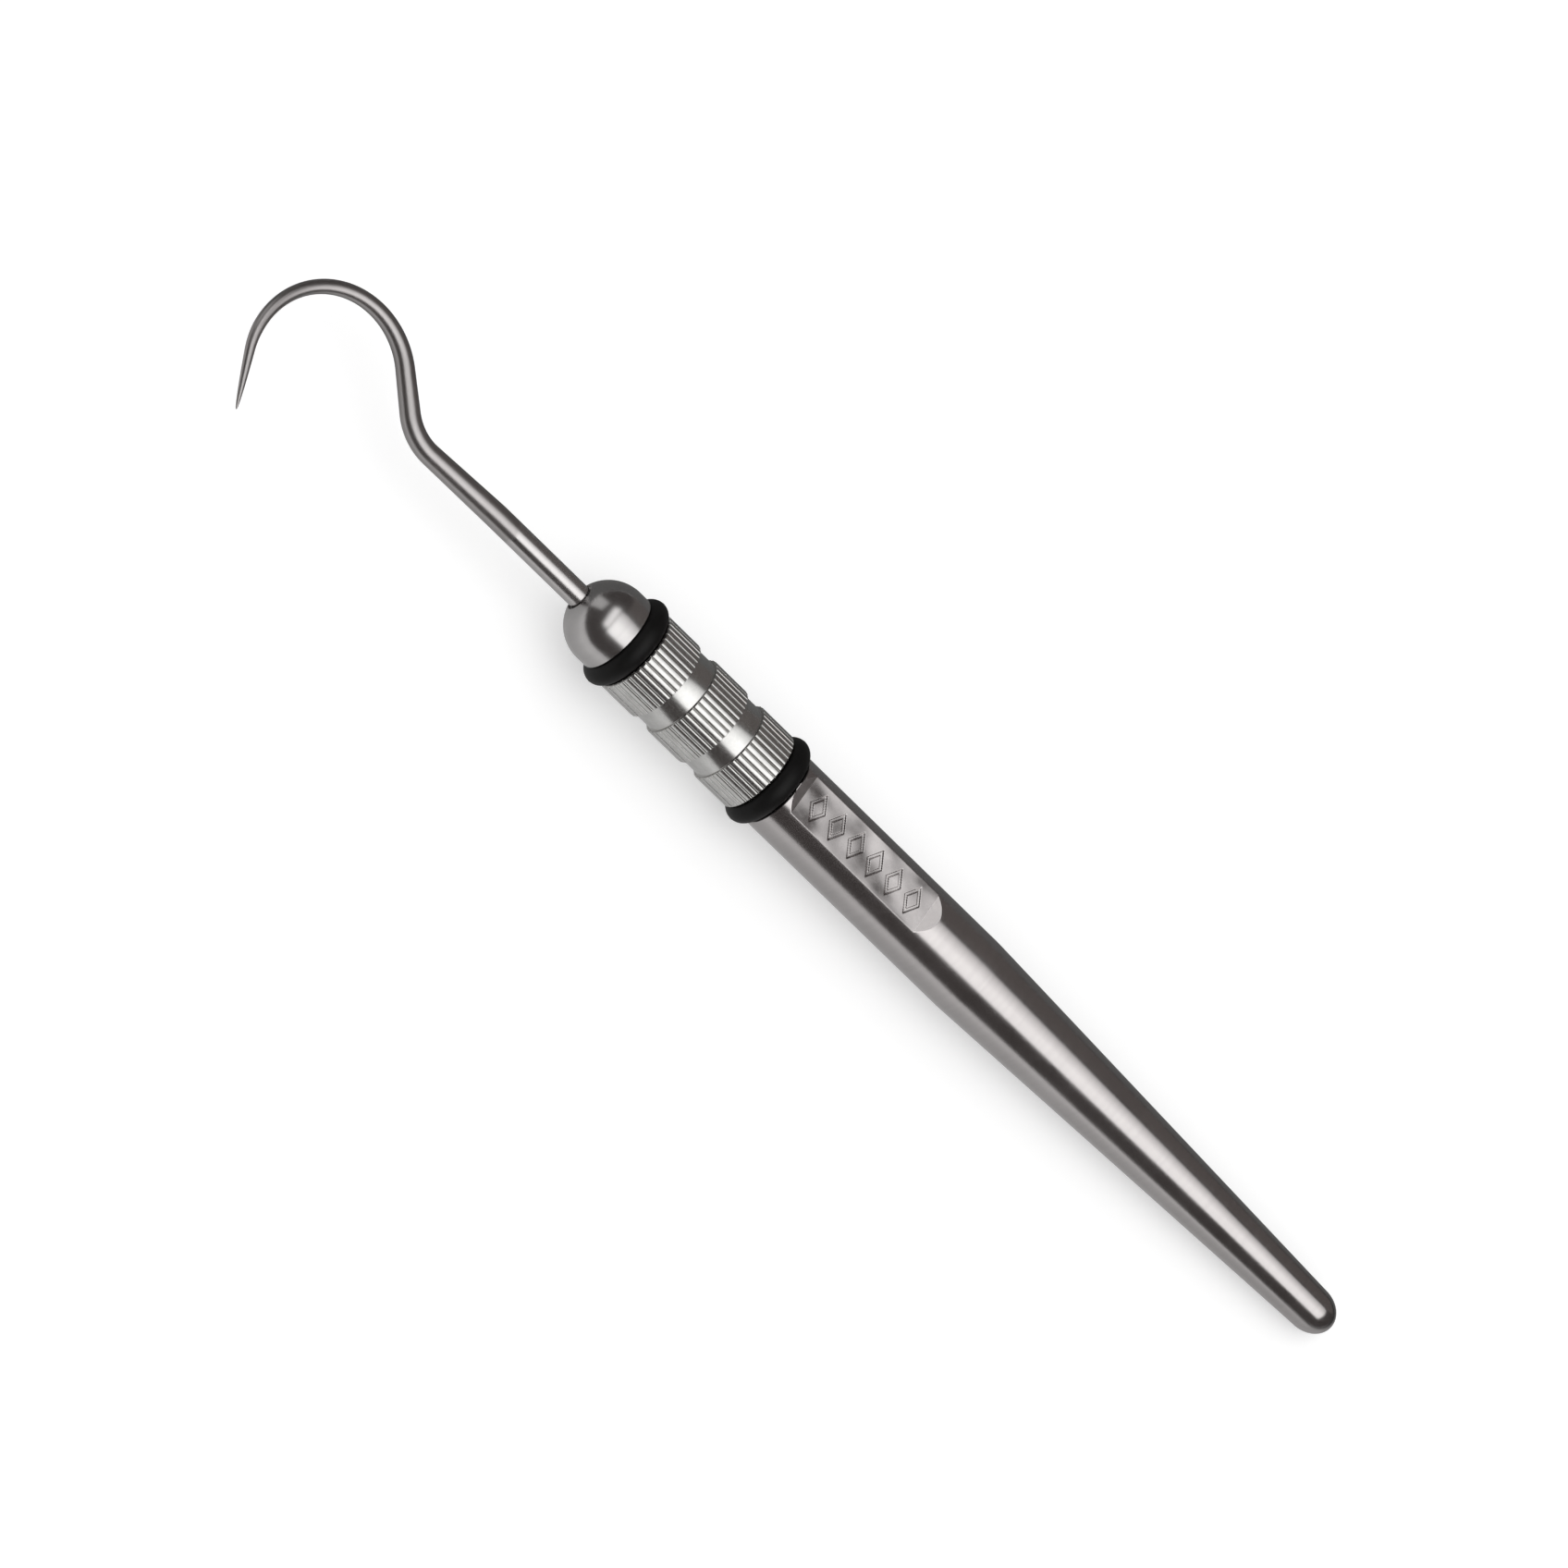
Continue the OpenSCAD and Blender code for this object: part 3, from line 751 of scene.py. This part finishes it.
def wire_piece():
    sides = 48
    back_rings, lean_rings, bend_rings, slope_rings, hook_rings, point_rings = 24, 16, 28, 10, 150, 60
    back = -LEAN_LEN - (WIRE_BACK - TAPER_START)
    stations = spread(back, -LEAN_LEN, back_rings) + spread(-LEAN_LEN, 0, lean_rings)
    stations += spread(0, BEND_LEN, bend_rings) + spread(BEND_LEN, ARC_AT, slope_rings)
    stations += spread(ARC_AT, POINT_AT, hook_rings)
    stations += [WIRE_TOTAL - POINT_LEN * (1 - i / point_rings) ** 2 for i in range(point_rings)]
    rings = [(u, wire_radius(u)) for u in stations]
    bevel = 0.15
    rings[0] = (back, WIRE_R - bevel)
    rings.insert(1, (back + bevel, WIRE_R))
    rings += [(WIRE_TOTAL - TIP_R * (1 - math.sin(a)), TIP_R * math.cos(a)) for a in (0.0, 0.5, 1.0)]
    vertices = []
    for u, radius in rings:
        middle, heading = wire_at(u)
        for i in range(sides):
            angle = TURN * i / sides
            x, y = to_left(middle, heading, radius * math.cos(angle))
            vertices.append(place(x, y, radius * math.sin(angle)))
    faces = []
    for k in range(len(rings) - 1):
        for i in range(sides):
            j = (i + 1) % sides
            faces.append((k * sides + i, k * sides + j, (k + 1) * sides + j, (k + 1) * sides + i))
    last = (len(rings) - 1) * sides
    faces.append(tuple(range(sides)))
    faces.append(tuple(last + i for i in range(sides)))
    return make_piece(
        "ground_hook",
        vertices,
        faces,
        "spinning_head",
        ["hook_wire"],
        [wire_metal],
    )


wire_piece()


# ---------------------------------------------------------------- rubber rings


def ring_piece(name, node, x):
    around, across, flash, flash_half = 144, 40, 0.012, 0.16
    rings = []
    for i in range(across):
        a = TURN * i / across
        from_equator = abs((a + math.pi) % TURN - math.pi)
        radius = RING_R - flash + flash * max(0.0, 1 - from_equator / flash_half)
        rings.append((x + radius * math.sin(a), RING_MID_R + radius * math.cos(a)))
    vertices, faces = lathe(rings, even_angles(around), closed=True)
    return make_piece(name, vertices, faces, "spinning_head", [node], [ring_rubber], sharp_deg=180)


ring_piece("front_rubber_ring", "front_o_ring", FRONT_RING_X)
ring_piece("rear_rubber_ring", "rear_o_ring", REAR_RING_X)


# ---------------------------------------------------------------- parts inside, as packed

inner_slots = {
    "spindle": "turned_steel",
    "rear_inner_race": "bearing_steel",
    "front_inner_race": "bearing_steel",
    "rear_outer_race": "bearing_steel",
    "front_outer_race": "bearing_steel",
    "inner_spacer": "spacer_brass",
    "outer_spacer": "spacer_brass",
    "retaining_washer": "turned_steel",
    "retaining_screw": "dark_screw_steel",
    "hook_grub_screw": "dark_screw_steel",
    "rear_bearing_shields": "shield_steel",
    "front_bearing_shields": "shield_steel",
    "wave_washer": "spring_steel",
    "rear_balls": "ball_steel",
    "front_balls": "ball_steel",
    "rear_cage": "cage_brass",
    "front_cage": "cage_brass",
}
for node_name, slot_name in inner_slots.items():
    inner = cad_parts[node_name]
    inner.data.materials.clear()
    inner.data.materials.append(inner_finishes[slot_name])


# ---------------------------------------------------------------- camera

VIEW_TILT = math.radians(20.5)
VIEW_LEAN = math.radians(23.0)
VIEW_ROLL = math.radians(44.231)
LOOK_AT = place(0.692, 1.266, -0.8)
CAMERA_DISTANCE = 1.0695
toward = Vector(
    (-math.sin(VIEW_TILT), -math.cos(VIEW_TILT) * math.sin(VIEW_LEAN), math.cos(VIEW_TILT) * math.cos(VIEW_LEAN))
)
along = Vector(
    (math.cos(VIEW_TILT), -math.sin(VIEW_TILT) * math.sin(VIEW_LEAN), math.sin(VIEW_TILT) * math.cos(VIEW_LEAN))
)
across = Vector((0.0, math.cos(VIEW_LEAN), math.sin(VIEW_LEAN)))
right = along * math.cos(VIEW_ROLL) + across * math.sin(VIEW_ROLL)
up = across * math.cos(VIEW_ROLL) - along * math.sin(VIEW_ROLL)
lens = bpy.data.cameras.new("camera")
lens.lens = 246.2
lens.sensor_width = 36.0
lens.clip_start = 0.05
lens.clip_end = 20.0
camera = bpy.data.objects.new("camera", lens)
bpy.context.scene.collection.objects.link(camera)
camera.matrix_world = Matrix.Translation(LOOK_AT + toward * CAMERA_DISTANCE) @ Matrix(
    (right, up, toward)
).transposed().to_4x4()
bpy.context.scene.camera = camera
bpy.context.scene.view_settings.view_transform = "Standard"


# ---------------------------------------------------------------- floor, cards and lights


def flat_card(name, low, high, z, material):
    """A level card from low (x, y) to high (x, y) in metres."""
    mesh = bpy.data.meshes.new(name)
    corners = [(low[0], low[1], z), (high[0], low[1], z), (high[0], high[1], z), (low[0], high[1], z)]
    mesh.from_pydata(corners, [], [(0, 1, 2, 3)])
    mesh.materials.append(material)
    card = bpy.data.objects.new(name, mesh)
    bpy.context.scene.collection.objects.link(card)
    return card


def mirror_only(card):
    """A card that shows only in reflections, and neither lights nor shades anything."""
    card.visible_camera = False
    card.visible_diffuse = False
    card.visible_transmission = False
    card.visible_volume_scatter = False
    card.visible_shadow = False
    return card


def emission(name, strength=None, build=None, colour=grey(1.0)):
    """An emitting material. build(graph) may return a strength that changes over the card."""
    g = Graph(name)
    g.tree.nodes.remove(g.shader)
    glow = g.add("Emission", {"Color": colour, "Strength": strength if build is None else build(g)})
    g.tree.links.new(glow.outputs[0], g.tree.nodes["Material Output"].inputs["Surface"])
    g.material.cycles.emission_sampling = "NONE"
    return g.material


def floor_material():
    g = Graph("pale_floor", Roughness=1.0)
    g.shader.inputs["Specular IOR Level"].default_value = 0.0
    g.shader.inputs["Base Color"].default_value = grey(0.8)
    g.shader.inputs["Emission Color"].default_value = grey(1.0)
    g.shader.inputs["Emission Strength"].default_value = 0.36
    g.material.cycles.emission_sampling = "NONE"
    return g.material


# The floor leans to meet the rear ring and the tail, as the tool lies at rest. It stays there in other poses,
# so the hook's point goes through it when the head is turned by a quarter.
REST_TILT = math.atan2(RING_MID_R + RING_R - TAIL_R, HANDLE_LEN - TAIL_R - REAR_RING_X)
FLOOR_HALF = 4.0
floor = flat_card("floor", (-FLOOR_HALF, -FLOOR_HALF), (FLOOR_HALF, FLOOR_HALF), 0.0, floor_material())
contact = Vector((FACE_X + REAR_RING_X * MM, AXIS_Y, ring_low.z))
under_ring = Matrix.Translation((0, 0, -contact.x * math.tan(REST_TILT)))
floor.matrix_world = under_ring @ Matrix.Rotation(-REST_TILT, 4, "Y")

CARD_Z = 0.5


def softbox_strength(g):
    """The main light above: strongest towards -Y, a little weaker past the tail, with soft edges across Y."""
    point = g.add("SeparateXYZ", {0: g.add("TexCoord").outputs["Object"]})
    x, y = point.outputs["X"], point.outputs["Y"]
    fall = g.ramp(y, -0.061, 0.244, 1.7, 0.78)
    edge_low = g.ramp(y, -0.385, -0.365)
    edge_high = g.ramp(y, 0.262, 0.245)
    dim = g.ramp(x, 0.1, 0.56, 1.0, 0.92)
    return g.math("MULTIPLY", g.math("MULTIPLY", fall, dim), g.math("MULTIPLY", edge_low, edge_high))


softbox_glow = emission("softbox_glow", build=softbox_strength)
mirror_only(flat_card("overhead_softbox", (-0.15, -0.385), (0.56, 0.262), CARD_Z, softbox_glow))


EXTENSION_STRENGTH = 1.45


def extension_strength(g):
    """A soft patch of light beyond the softbox, ahead of the hook."""
    point = g.add("SeparateXYZ", {0: g.add("TexCoord").outputs["Object"]})
    x, y = point.outputs["X"], point.outputs["Y"]
    edge_x = g.math("MULTIPLY", g.ramp(x, -0.44, -0.32), g.ramp(x, -0.15, -0.2))
    edge_y = g.math("MULTIPLY", g.ramp(y, -0.38, -0.25), g.ramp(y, 0.36, 0.26))
    return g.math("MULTIPLY", g.math("MULTIPLY", edge_x, edge_y), EXTENSION_STRENGTH)


extension_glow = emission("extension_glow", build=extension_strength)
mirror_only(flat_card("overhead_extension", (-0.44, -0.38), (-0.15, 0.36), CARD_Z, extension_glow))
window_glow = emission("window_glow", 0.6)
window = mirror_only(flat_card("side_window", (-0.15, -0.2), (0.15, 0.2), 0.0, window_glow))
window.matrix_world = (
    Matrix.Rotation(math.radians(163), 4, "Z")
    @ Matrix.Translation((0.6, 0.0, 0.2))
    @ Matrix.Rotation(math.radians(90), 4, "Y")
    @ Matrix.Rotation(math.radians(90), 4, "Z")
)

wall_glow = emission("wall_glow", 0.14, colour=(1.0, 0.9, 0.87, 1.0))
wall = mirror_only(flat_card("far_wall", (0.05, -0.7), (1.8, 0.7), 0.0, wall_glow))
wall.matrix_world = Matrix.Translation((0.0, 1.0, 0.7)) @ Matrix.Rotation(math.radians(90), 4, "X")


def bounce_strength(g):
    """What the metal sees of the table: pale on its -Y side, shaded under the tool, and dark past its tail."""
    point = g.add("SeparateXYZ", {0: g.add("TexCoord").outputs["Object"]})
    x, y = point.outputs["X"], point.outputs["Y"]
    pale = g.ramp(y, -0.025, -0.004, 0.74, 0.48)
    shaded = g.ramp(y, -0.002, 0.008, 1.0, 0.3)
    past_tail = g.ramp(x, 0.084, 0.096, 1.0, 0.25)
    return g.math("MULTIPLY", g.math("MULTIPLY", pale, shaded), past_tail)


BOUNCE_GAP = 0.3 * MM
bounce_glow = emission("bounce_glow", build=bounce_strength)
bounce = mirror_only(flat_card("table_bounce", (-0.6, -0.6), (1.0, 0.8), 0.0, bounce_glow))
bounce.matrix_world = Matrix.Translation(Vector((0, 0, BOUNCE_GAP))) @ floor.matrix_world


def area_light(name, place_at, aim_at, size, watts):
    data = bpy.data.lights.new(name, "AREA")
    data.shape = "DISK"
    data.size = size
    data.energy = watts
    light = bpy.data.objects.new(name, data)
    bpy.context.scene.collection.objects.link(light)
    light.location = place_at
    light.rotation_euler = (Vector(aim_at) - Vector(place_at)).to_track_quat("-Z", "Y").to_euler()
    light.visible_glossy = False
    light.visible_camera = False


area_light("key_light", (0.0, 0.05, 1.0), (0, 0, 0), 0.9, 1.0)

world = bpy.data.worlds.new("studio")
bpy.context.scene.world = world
world.use_nodes = True
world.cycles.sampling_method = "NONE"
sky = world.node_tree
sky.nodes.clear()
rays = sky.nodes.new("ShaderNodeLightPath")
mix = sky.nodes.new("ShaderNodeMixShader")
pale = sky.nodes.new("ShaderNodeBackground")
pale.inputs["Color"].default_value = grey(1.0)
pale.inputs["Strength"].default_value = 0.84
dark = sky.nodes.new("ShaderNodeBackground")
dark.inputs["Color"].default_value = (1.0, 0.9, 0.88, 1.0)
dark.inputs["Strength"].default_value = 0.075
out = sky.nodes.new("ShaderNodeOutputWorld")
sky.links.new(rays.outputs["Is Glossy Ray"], mix.inputs[0])
sky.links.new(pale.outputs[0], mix.inputs[1])
sky.links.new(dark.outputs[0], mix.inputs[2])
sky.links.new(mix.outputs[0], out.inputs["Surface"])
